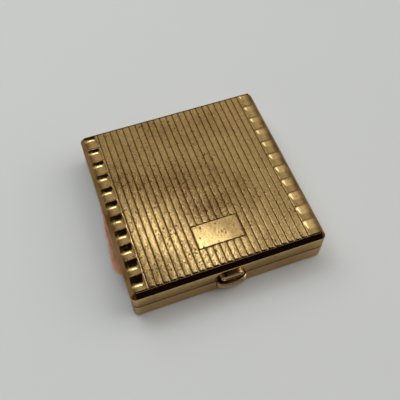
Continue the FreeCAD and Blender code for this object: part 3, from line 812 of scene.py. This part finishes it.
tab_points, tab_faces = make_tab()
make_piece("thumb_tab", tab_points, tab_faces, "lid", shaded_wall_gold, ("lid_thumb_tab",),
           crease=50.0)

# %% [markdown]
# The button is built as the real one is: a bowed shell in front of the wall, and behind it two arms, two
# ears that stop it and a bar that holds the lid's tongue. The levels below are a height and an inset
# each, and where the inset grows there is a groove. The hidden parts are plain boxes.

# %% Catch button
BUTTON_HALF = 5.4 * MM
BUTTON_REAR = -34.4 * MM
BUTTON_FLANK_Y = -35.7 * MM
BUTTON_TIP_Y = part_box("catch_button")[0].y
BUTTON_LOW = 2.9 * MM
BUTTON_LEVELS = ((0.0, 1.00), (0.06, 0.70), (0.25, 0.42), (0.60, 0.18), (1.1, 0.04), (1.6, 0.0),
                 (2.0, 0.03), (2.2, 0.14), (2.3, 0.32), (2.42, 0.34), (2.52, 0.16), (2.7, 0.04),
                 (2.95, 0.02), (3.15, 0.14), (3.25, 0.34), (3.37, 0.36), (3.47, 0.18), (3.62, 0.10),
                 (3.85, 0.12), (4.0, 0.26), (4.1, 0.55), (4.0, 0.72), (3.7, 0.85), (3.55, 1.15))
BOW_STEPS = 36
ARM_LOW, ARM_HIGH = 3.0 * MM, 5.5 * MM
ARM_INNER, ARM_OUTER, EAR_OUTER = 3.0 * MM, 4.5 * MM, 6.5 * MM
EAR_FRONT, EAR_BACK = -34.27 * MM, -33.75 * MM
BAR_FRONT, BAR_BACK = -32.6 * MM, -32.0 * MM
BAR_LIP_FRONT, BAR_LIP_LOW = -32.85 * MM, 5.1 * MM


def bow_outline(inset):
    """Points once round the button in plan: an arc across the front, then the flanks and the rear."""
    half = BUTTON_HALF - inset * 0.6
    flank = BUTTON_FLANK_Y + inset * 0.6
    tip = BUTTON_TIP_Y + inset
    points = []
    for i in range(BOW_STEPS + 1):
        share = 2 * i / BOW_STEPS - 1
        points.append((half * share, flank + (tip - flank) * (1 - share ** 4) ** 0.8))
    points += [(half, (flank + BUTTON_REAR) / 2), (half, BUTTON_REAR)]
    points += [(-half, BUTTON_REAR), (-half, (flank + BUTTON_REAR) / 2)]
    return points


def box_skin(low, high):
    """The points and faces of a plain box."""
    rings = [[(low[0], low[1], z), (high[0], low[1], z), (high[0], high[1], z), (low[0], high[1], z)]
             for z in (low[2], high[2])]
    return joined_rings(rings, flip=True)


def make_button():
    """The thumb piece, with the arms and the bar that reach back to the lid's tongue."""
    rings = [[(x, y, BUTTON_LOW + height * MM) for x, y in bow_outline(inset * MM)]
             for height, inset in BUTTON_LEVELS]
    skins = [joined_rings(rings, flip=True)]
    for side in (-1, 1):
        near, far = sorted((side * ARM_INNER, side * ARM_OUTER))
        skins.append(box_skin((near, BUTTON_REAR, ARM_LOW), (far, BAR_BACK, ARM_HIGH)))
        near, far = sorted((side * ARM_INNER, side * EAR_OUTER))
        skins.append(box_skin((near, EAR_FRONT, ARM_LOW), (far, EAR_BACK, ARM_HIGH)))
    skins.append(box_skin((-ARM_OUTER, BAR_FRONT, ARM_LOW), (ARM_OUTER, BAR_BACK, ARM_HIGH)))
    skins.append(box_skin((-ARM_OUTER, BAR_LIP_FRONT, BAR_LIP_LOW), (ARM_OUTER, BAR_FRONT, ARM_HIGH)))
    points, faces = [], []
    for skin_points, skin_faces in skins:
        first = len(points)
        points += skin_points
        faces += [tuple(first + i for i in face) for face in skin_faces]
    return points, faces


button_points, button_faces = make_button()
make_piece("thumb_button", button_points, button_faces, "catch", shaded_wall_gold,
           ("catch_button",), crease=50.0)

# %% [markdown]
# ## Powder and gauze
# The powder has settled almost level, with the soft waves that tapping the sifter leaves. The gauze
# above it is real weaving: each thread is a fine tube that goes over one crossing thread and under the
# next.


# %% A slab with round corners
def slab(half, corner, count, top, bottom):
    """A closed slab on a square plan. top and bottom are functions that give its heights."""
    lines = np.linspace(-half, half, count)
    gx, gy = np.meshgrid(lines, lines)
    px, py = bent_corner(gx, gy, half, corner)
    upper = np.stack([px, py, top(px, py)], axis=-1).reshape(-1, 3)
    lower = np.stack([px, py, bottom(px, py)], axis=-1).reshape(-1, 3)
    below = count * count
    faces = []
    for r in range(count - 1):
        for c in range(count - 1):
            start = r * count + c
            square = (start, start + 1, start + count + 1, start + count)
            faces.append(square)
            faces.append(tuple(below + i for i in reversed(square)))
    ring = [r * count + c for r, c in outline_walk(count, count)]
    for here, after in zip(ring, ring[1:] + ring[:1]):
        faces.append((after, here, below + here, below + after))
    return np.vstack([upper, lower]), faces


def level(height):
    """A function that gives the same height everywhere."""
    return lambda x, y: np.full_like(x, height)


def noise_at(x, y, scale, seed):
    """Smooth noise over a plane, from about -1 to 1, as an array."""
    return np.vectorize(lambda u, v: noise.noise(Vector((u / scale, v / scale, seed))))(x, y)


# %% [markdown]
# Powder scatters light and has almost no shine, so its roughness is near 1 and its colour does the work.
# Two close tones in soft patches keep it from looking like paint.


# %% Material: loose powder
def make_powder_material():
    """Pressed pigment and talc: quite matt, with fine grains and slightly darker patches."""
    material, tree, shader = start_material("face_powder")
    place = add(tree, "ShaderNodeTexCoord").outputs["Object"]
    patch = add(tree, "ShaderNodeTexNoise", inputs={"Vector": place, "Scale": 180.0, "Detail": 6.0})
    grains = add(tree, "ShaderNodeTexNoise", inputs={"Vector": place, "Scale": 6000.0, "Detail": 2.0})
    tint = blend_colours(tree, remap(tree, patch.outputs["Fac"], 0.35, 0.7),
                         colour(0.72, 0.50, 0.36), colour(0.62, 0.40, 0.27))
    tree.links.new(tint, shader.inputs["Base Color"])
    shader.inputs["Roughness"].default_value = 0.95
    shader.inputs["Specular IOR Level"].default_value = 0.1
    bumps = add(tree, "ShaderNodeBump", inputs={
        "Height": grains.outputs["Fac"], "Strength": 0.5, "Distance": 0.05 * MM})
    tree.links.new(bumps.outputs["Normal"], shader.inputs["Normal"])
    return material


powder_low, powder_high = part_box("powder")
POWDER_MIDDLE_Y = (powder_low.y + powder_high.y) / 2


def powder_surface(x, y):
    """The powder's own level, with the dips that use has left."""
    broad = noise_at(x, y, 11 * MM, 2.0) * 0.28 * MM
    fine = noise_at(x, y, 2.2 * MM, 5.0) * 0.05 * MM
    return powder_high.z - 0.30 * MM + broad + fine


powder_points, powder_faces = slab(powder_high.x, 3.5 * MM, 90, powder_surface, level(powder_low.z))
powder_points[:, 1] += POWDER_MIDDLE_Y
make_piece("settled_powder", powder_points.tolist(), powder_faces, "base", make_powder_material(),
           ("powder",))


# %% [markdown]
# A picture of gauze would look flat from the side, and a see-through material wouldn't catch light as
# thread does. Each thread is therefore a square tube whose height follows a cosine, and the next thread
# starts half a wave later, which is plain weave.


# %% Woven gauze
THREAD_PITCH = 0.8 * MM
THREAD_RADIUS = 0.15 * MM
THREAD_RISE = 0.08 * MM
STEPS_PER_CROSSING = 2


def make_gauze(half, centre_y, middle_z):
    """Threads along X and along Y, each over one and under the next."""
    count = int(2 * half / THREAD_PITCH) - 1
    start = -(count - 1) / 2 * THREAD_PITCH
    around = ((THREAD_RADIUS, 0), (0, THREAD_RADIUS), (-THREAD_RADIUS, 0), (0, -THREAD_RADIUS))
    steps = (count + 1) * STEPS_PER_CROSSING
    points, faces = [], []
    for along_x in (True, False):
        for i in range(count):
            across = start + i * THREAD_PITCH
            first = len(points)
            for k in range(steps + 1):
                along = start + (k / STEPS_PER_CROSSING - 1) * THREAD_PITCH
                phase = math.pi * (k / STEPS_PER_CROSSING - 1 + i) + (0 if along_x else math.pi)
                rise = THREAD_RISE * math.cos(phase)
                for side, up in around:
                    x, y = (along, across + side) if along_x else (across + side, along)
                    points.append((x, centre_y + y, middle_z + rise + up))
            for k in range(steps):
                low = first + 4 * k
                for m in range(4):
                    n = (m + 1) % 4
                    faces.append((low + m, low + n, low + 4 + n, low + 4 + m))
            faces.append((first + 3, first + 2, first + 1, first))
            last = first + 4 * steps
            faces.append((last, last + 1, last + 2, last + 3))
    return points, faces


def make_thread_material():
    """Fine silk thread, pale with a slight shine."""
    material, tree, shader = start_material("gauze_thread")
    place = add(tree, "ShaderNodeTexCoord").outputs["Object"]
    dust = add(tree, "ShaderNodeTexNoise", inputs={"Vector": place, "Scale": 300.0, "Detail": 4.0})
    tint = blend_colours(tree, remap(tree, dust.outputs["Fac"], 0.4, 0.65),
                         colour(0.82, 0.70, 0.58), colour(0.72, 0.50, 0.36))
    tree.links.new(tint, shader.inputs["Base Color"])
    shader.inputs["Roughness"].default_value = 0.5
    shader.inputs["Sheen Weight"].default_value = 0.2
    return material


gauze_low, gauze_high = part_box("sifter_mesh")
GAUZE_SIDE = gauze_high.x - gauze_low.x
gauze_points, gauze_faces = make_gauze(GAUZE_SIDE / 2, POWDER_MIDDLE_Y, gauze_low.z - 0.10 * MM)
gauze = make_piece("woven_gauze", gauze_points, gauze_faces, "base", make_thread_material(),
                   ("sifter_mesh",))

# %% [markdown]
# ## The puff
# A puff is two squares sewn together round a thin filling. Air pressure inside a cloth gives just that
# swelling, so a flat pad is blown up for a few frames, and then pinched: where it passes between the
# rims of the case it is only as thick as the seam, and beyond the wall it spreads out again. Velour's
# nap comes last, as thousands of short fibres.

# %% Sizes of the puff
PUFF_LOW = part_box("sifter_frame")[1].z + 0.3 * MM
PUFF_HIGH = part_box("puff_backing")[0].z - 0.02 * MM
PUFF_HALF = 25.0 * MM
PUFF_CORNER = 5.0 * MM
PUFF_SWELL = 0.55 * MM
PUFF_START_THICKNESS = PUFF_HIGH - PUFF_LOW - 2 * PUFF_SWELL
PUFF_CENTRE = Vector((-11.2, 0.2, 0.0)) * MM
PUFF_TURN = math.radians(-4.2)
PINCH_HALF = 0.10 * MM
BULGE_HALF = 1.15 * MM
WALL_INSIDE = -HALF + WALL


def swollen_pad():
    """A pad blown up by cloth pressure, lying round its own centre."""
    half_thick = PUFF_START_THICKNESS / 2
    points, faces = slab(PUFF_HALF - PUFF_SWELL, PUFF_CORNER, 40, level(half_thick), level(-half_thick))
    mesh = bpy.data.meshes.new("pad")
    mesh.from_pydata(points.tolist(), [], faces)
    pad = bpy.data.objects.new("pad", mesh)
    bpy.context.scene.collection.objects.link(pad)
    remesh = pad.modifiers.new("remesh", "REMESH")
    remesh.mode = "VOXEL"
    remesh.voxel_size = 0.75 * MM
    bpy.context.view_layer.objects.active = pad
    bpy.ops.object.modifier_apply(modifier="remesh")
    before = np.array([v.co for v in pad.data.vertices])
    after = before
    cloth = pad.modifiers.new("cloth", "CLOTH")
    cloth.settings.use_pressure = True
    cloth.settings.uniform_pressure_force = 4.0
    cloth.settings.effector_weights.gravity = 0.0
    for step in range(1, 21):
        bpy.context.scene.frame_set(step)
    shaped = pad.evaluated_get(bpy.context.evaluated_depsgraph_get()).to_mesh()
    after = np.array([v.co for v in shaped.vertices])
    pad.modifiers.clear()
    bpy.context.scene.frame_set(1)
    move = after - before
    length = np.maximum(np.linalg.norm(move, axis=1, keepdims=True), 1e-9)
    swollen = before + move * np.minimum(1.0, PUFF_SWELL / length)
    pad.data.vertices.foreach_set("co", swollen.ravel())
    smooth = pad.modifiers.new("smooth", "SUBSURF")
    smooth.levels = 1
    bpy.ops.object.modifier_apply(modifier="smooth")
    print("pad points", len(pad.data.vertices), "moved at most %.2f mm" % (length.max() / MM))
    return pad


def soft_step(value):
    """A smooth step from 0 to 1."""
    t = np.clip(value, 0, 1)
    return t * t * (3 - 2 * t)


def pinch(points):
    """Squeeze the pad between the rims, and let it spread again outside the wall."""
    x, y, z = points.T
    full = (PUFF_HIGH - PUFF_LOW) / 2
    inside = soft_step((x - WALL_INSIDE - 0.1 * MM) / (8 * MM))
    outside = soft_step((-HALF - 0.15 * MM - x) / (1.1 * MM))
    uneven = 1 + 0.16 * noise_at(x, y, 3.0 * MM, 7.0)
    half = PINCH_HALF + (full - PINCH_HALF) * inside + (BULGE_HALF - PINCH_HALF) * outside * uneven
    middle = SEAM + ((PUFF_HIGH + PUFF_LOW) / 2 - SEAM) * inside - 0.15 * MM * outside
    crease = 0.12 * MM * noise_at(x, y, 1.6 * MM, 3.0) * outside
    return np.stack([x + crease, y, middle + z / full * half], axis=-1)


# %% [markdown]
# The pad is blown up flat, round its own centre, and only then turned and carried to its place. The pinch
# works on places in the case, so it has to come last.

# %% Shape the puff
puff = swollen_pad()
flat_points = np.array([v.co for v in puff.data.vertices])
turn = Matrix.Rotation(PUFF_TURN, 3, "Z")
placed = flat_points @ np.array(turn).T + np.array(PUFF_CENTRE)
puff_points = pinch(placed)
puff_faces = [tuple(face.vertices) for face in puff.data.polygons]
bpy.data.objects.remove(puff)


# %% [markdown]
# Velour is matt from the front and bright at its edges, where the eye looks along the fibres. Sheen gives
# that edge. The fibres get a paler copy of the velour, a painted sheen that brightens the edge further.


# %% Material: velour
def make_velour(name, dark, light):
    """Cotton velour: matt, with a soft bright edge and worn, darker patches."""
    material, tree, shader = start_material(name)
    place = add(tree, "ShaderNodeTexCoord").outputs["Object"]
    patch = add(tree, "ShaderNodeTexNoise", inputs={"Vector": place, "Scale": 350.0, "Detail": 4.0})
    tint = blend_colours(tree, remap(tree, patch.outputs["Fac"], 0.35, 0.65), dark, light)
    tree.links.new(tint, shader.inputs["Base Color"])
    shader.inputs["Roughness"].default_value = 1.0
    shader.inputs["Specular IOR Level"].default_value = 0.05
    shader.inputs["Sheen Weight"].default_value = 0.6
    shader.inputs["Sheen Tint"].default_value = colour(1.0, 0.72, 0.55)
    pile = add(tree, "ShaderNodeTexNoise", inputs={"Vector": place, "Scale": 4500.0, "Detail": 3.0})
    bumps = add(tree, "ShaderNodeBump", inputs={
        "Height": pile.outputs["Fac"], "Strength": 0.8, "Distance": 0.15 * MM})
    tree.links.new(bumps.outputs["Normal"], shader.inputs["Normal"])
    return material


velour = make_velour("velour", colour(0.58, 0.29, 0.18), colour(0.72, 0.40, 0.27))
# Painted sheen: the fibres' colours are a paler copy of the velour's.
sheen_painted_pile = make_velour("sheen_painted_pile", colour(0.76, 0.46, 0.33), colour(0.90, 0.62, 0.48))
soft_puff = make_piece("soft_puff", puff_points.tolist(), puff_faces, "base", velour,
                       ("powder_puff",), crease=180.0)


# %% [markdown]
# Fibres show only where the pad's outline is seen, so they grow on its edge and on the part beside the
# case. Each is a bent blade of two faces, and they are written as a mesh, with a fixed seed, so that
# every run gives the same nap.


# %% The nap
def grow_nap(name, grown_on, chosen, per_square_mm, shortest, longest, width, seed):
    """Short bent blades on the triangles of a piece whose middle is chosen."""
    rng = np.random.default_rng(seed)
    mesh = grown_on.data
    mesh.calc_loop_triangles()
    corners = np.array([v.co for v in mesh.vertices])
    triangles = np.array([t.vertices for t in mesh.loop_triangles])
    a, b, c = (corners[triangles[:, i]] for i in range(3))
    cross = np.cross(b - a, c - a)
    area = np.linalg.norm(cross, axis=1) / 2
    normal = cross / np.maximum(2 * area[:, None], 1e-15)
    wanted = np.where(chosen((a + b + c) / 3), area / MM ** 2 * per_square_mm, 0)
    number = (wanted + rng.random(len(wanted))).astype(int)
    index = np.repeat(np.arange(len(number)), number)
    u, v = rng.random(len(index)), rng.random(len(index))
    over = u + v > 1
    u, v = np.where(over, 1 - u, u), np.where(over, 1 - v, v)
    root = a[index] + (b - a)[index] * u[:, None] + (c - a)[index] * v[:, None]
    lean = normal[index] + rng.normal(0, 0.42, (len(index), 3))
    lean /= np.linalg.norm(lean, axis=1, keepdims=True)
    bend = lean + rng.normal(0, 0.5, (len(index), 3)) + np.array([0, 0, -0.15])
    bend /= np.linalg.norm(bend, axis=1, keepdims=True)
    side = np.cross(lean, rng.normal(0, 1, (len(index), 3)))
    side /= np.linalg.norm(side, axis=1, keepdims=True)
    length = rng.uniform(shortest, longest, len(index))[:, None]
    elbow = root + lean * length * 0.55
    tip = elbow + bend * length * 0.45
    rows_of_points = [root - side * width / 2, root + side * width / 2,
                      elbow - side * width * 0.35, elbow + side * width * 0.35, tip]
    points = np.stack(rows_of_points, axis=1).reshape(-1, 3)
    faces = []
    for i in range(len(index)):
        low = 5 * i
        faces += [(low, low + 1, low + 3, low + 2), (low + 2, low + 3, low + 4)]
    return make_piece(name, points.tolist(), faces, "base", sheen_painted_pile, crease=180.0)


def beyond_the_wall(middle):
    """Faces of the part that stands out beside the case."""
    return middle[:, 0] < -HALF - 0.35 * MM


def round_the_edge(middle):
    """Faces of the pad's side, inside the case."""
    local = (middle - np.array(PUFF_CENTRE)) @ np.array(turn)
    edge = np.maximum(np.abs(local[:, 0]), np.abs(local[:, 1])) > PUFF_HALF - 1.2 * MM
    return edge & (middle[:, 0] > -HALF + 7 * MM)


grow_nap("pile_outside", soft_puff, beyond_the_wall, 30.0, 0.4 * MM, 1.5 * MM, 0.06 * MM, 11)
grow_nap("pile_inside", soft_puff, round_the_edge, 14.0, 0.3 * MM, 0.6 * MM, 0.05 * MM, 12)

# %% [markdown]
# ## Satin back and ribbon
# The satin lies on the pad and follows it. Its height is found by looking straight down on the pad, so
# it can neither float nor sink in. The ribbon is sewn at both ends and stands a little free between.


# %% Material: satin
def make_satin(name, light, dark, rib_scale):
    """Satin: threads that shine along one way, with fine lines across."""
    material, tree, shader = start_material(name)
    place = add(tree, "ShaderNodeTexCoord").outputs["Object"]
    worn = add(tree, "ShaderNodeTexNoise", inputs={"Vector": place, "Scale": 90.0, "Detail": 4.0})
    tint = blend_colours(tree, remap(tree, worn.outputs["Fac"], 0.4, 0.7), light, dark)
    tree.links.new(tint, shader.inputs["Base Color"])
    shader.inputs["Roughness"].default_value = 0.34
    shader.inputs["Anisotropic"].default_value = 0.6
    shader.inputs["Sheen Weight"].default_value = 0.25
    lines = add(tree, "ShaderNodeTexWave", {"wave_type": "BANDS", "bands_direction": "X"}, {
        "Vector": place, "Scale": rib_scale, "Distortion": 0.6, "Detail": 1.0})
    bumps = add(tree, "ShaderNodeBump", inputs={
        "Height": lines.outputs["Fac"], "Strength": 0.25, "Distance": 0.03 * MM})
    tree.links.new(bumps.outputs["Normal"], shader.inputs["Normal"])
    return material


satin = make_satin("satin", colour(0.80, 0.50, 0.37), colour(0.66, 0.38, 0.27), 1500.0)
ribbon_satin = make_satin("ribbon_satin", colour(0.93, 0.71, 0.59), colour(0.82, 0.58, 0.46), 900.0)
pad_surface = BVHTree.FromPolygons([tuple(p) for p in puff_points], puff_faces)


def top_of_pad(x, y):
    """The height of the pad's upper surface under points given round its own centre."""
    def look_down(u, v):
        place = turn @ Vector((u, v, 0)) + PUFF_CENTRE
        hit = pad_surface.ray_cast(Vector((place.x, place.y, TOP)), Vector((0, 0, -1)))[0]
        return hit.z if hit else SEAM
    return np.vectorize(look_down)(x, y)


def lay_on_pad(name, half_x, half_y, corner, middle_x, lift, thickness, material):
    """A thin sheet on the pad. lift gives its height over the pad."""
    def stretch(x, y):
        return x * half_x / half_y + middle_x, y

    def upper(x, y):
        return top_of_pad(*stretch(x, y)) + lift(x, y) + thickness

    def lower(x, y):
        return top_of_pad(*stretch(x, y)) + lift(x, y)

    points, faces = slab(half_y, corner, 70, upper, lower)
    points[:, 0] = points[:, 0] * half_x / half_y + middle_x
    heights = points[:, 2].copy()
    points[:, 2] = 0
    points = points @ np.array(turn).T + np.array(PUFF_CENTRE)
    points[:, 2] = heights
    made = make_piece(name, points.tolist(), faces, "base", material, crease=60.0)
    return made


def satin_lift(x, y):
    """The satin lies close, with small puckers along its sewn edge."""
    edge = np.maximum(np.abs(x), np.abs(y)) / (24 * MM)
    pucker = 0.5 + 0.5 * np.sin((x - y) / (0.55 * MM))
    return 0.05 * MM + 0.07 * MM * pucker * soft_step((edge - 0.88) / 0.1)


def ribbon_lift(x, y):
    """The ribbon rises from its sewn ends and stands free between them."""
    return 0.20 * MM + 0.35 * MM * soft_step((1 - np.abs(x) / (7 * MM)) / 0.3)


backing = lay_on_pad("satin_back", 22.0 * MM, 24.0 * MM, 4.0 * MM, 1.8 * MM, satin_lift, 0.12 * MM, satin)
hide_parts("puff_backing")
ribbon = lay_on_pad("finger_ribbon", 20.8 * MM, 7.0 * MM, 0.3 * MM, 1.8 * MM, ribbon_lift, 0.14 * MM,
                    ribbon_satin)
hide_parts("puff_ribbon")

# %% [markdown]
# ## Finishes for the pieces that keep their shape
# A piece whose shape is already right only needs its material. The loop below hands them out.


# %% Give the CAD pieces their materials
def give(material, *nodes):
    """Put one material on every slot of these pieces."""
    for name in nodes:
        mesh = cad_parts[name].data
        mesh.materials.clear()
        mesh.materials.append(material)


def plain_material(name, first, second, scale, roughness, metallic):
    """Two close colours mottled together, with one roughness all over."""
    material, tree, shader = start_material(name)
    place = add(tree, "ShaderNodeTexCoord").outputs["Object"]
    mottle = add(tree, "ShaderNodeTexNoise", inputs={"Vector": place, "Scale": scale, "Detail": 5.0})
    tint = blend_colours(tree, remap(tree, mottle.outputs["Fac"], 0.4, 0.65), first, second)
    tree.links.new(tint, shader.inputs["Base Color"])
    shader.inputs["Metallic"].default_value = metallic
    shader.inputs["Roughness"].default_value = roughness
    return material


steel = plain_material("spring_steel", colour(0.55, 0.56, 0.58), colour(0.42, 0.42, 0.43), 900.0, 0.28, 1.0)
silvered_glass = plain_material("mirror_glass", colour(0.93, 0.94, 0.94), colour(0.90, 0.91, 0.91),
                                60.0, 0.02, 1.0)
card = plain_material("packing_card", colour(0.36, 0.29, 0.20), colour(0.27, 0.21, 0.14), 2500.0, 0.9, 0.0)
give(shaded_wall_gold, "base_shell")
give(inner_gold, "powder_pan", "sifter_frame", "sifter_tab", "mirror_frame", "base_hinge_leaf",
     "lid_hinge_leaf", "catch_guide", "lid_catch_tongue")
give(steel, "hinge_pin", "catch_spring")
give(silvered_glass, "mirror")
give(card, "mirror_pad")
print("materials given")


# %% [markdown]
# Real pressed sheet has no razor edge. A narrow bevel modifier gives each sharp edge a thin highlight and
# leaves the piece's own vertices alone.


# %% Soften the CAD edges
def soften(width, *nodes):
    """A fine bevel on the sharp edges, so that they catch the light."""
    for name in nodes:
        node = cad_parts[name]
        bevel = node.modifiers.new("soft_edges", "BEVEL")
        bevel.width = width
        bevel.segments = 2
        bevel.limit_method = "ANGLE"
        bevel.angle_limit = math.radians(40)
        bevel.harden_normals = True


soften(0.06 * MM, "powder_pan", "sifter_frame", "sifter_tab", "mirror_frame")
soften(0.15 * MM, "mirror")
